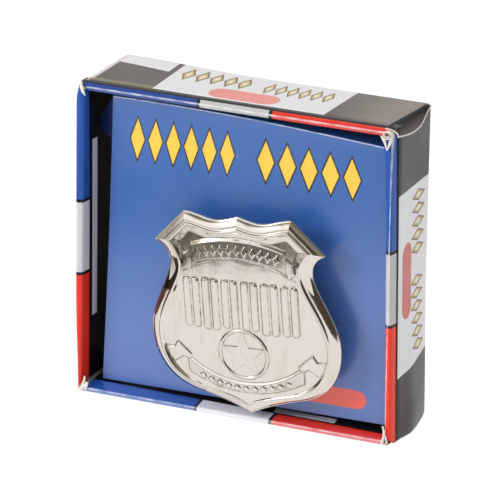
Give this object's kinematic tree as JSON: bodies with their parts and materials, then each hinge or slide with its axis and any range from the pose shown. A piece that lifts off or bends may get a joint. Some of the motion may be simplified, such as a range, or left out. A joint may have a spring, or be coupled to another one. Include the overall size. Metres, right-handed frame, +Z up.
{
  "type": "police shield badge in an open display box",
  "caption": "Metal shield badge with ribbons, bars and a ringed star, pinned to a folded card that stands in a shallow open-fronted display box with rolled edges.",
  "frame": {"origin": "centre of the box's base, on the plane it stands on", "axes": "+Z up; +X to the right seen from the display side; the badge and the open side face -Y"},
  "size_m": [0.108, 0.0347, 0.1043],
  "materials": {
    "box_board": "satin, printed in blue, white and red bands",
    "card_board": "semi-gloss, printed blue",
    "clasp_metal": "plain",
    "badge_metal": "polished warm nickel plate"
  },
  "bodies": {
    "root": {"box": "box_board", "insert_card": "card_board", "pin_clasp": "clasp_metal", "badge_shield": "badge_metal"}
  },
  "joints": []
}
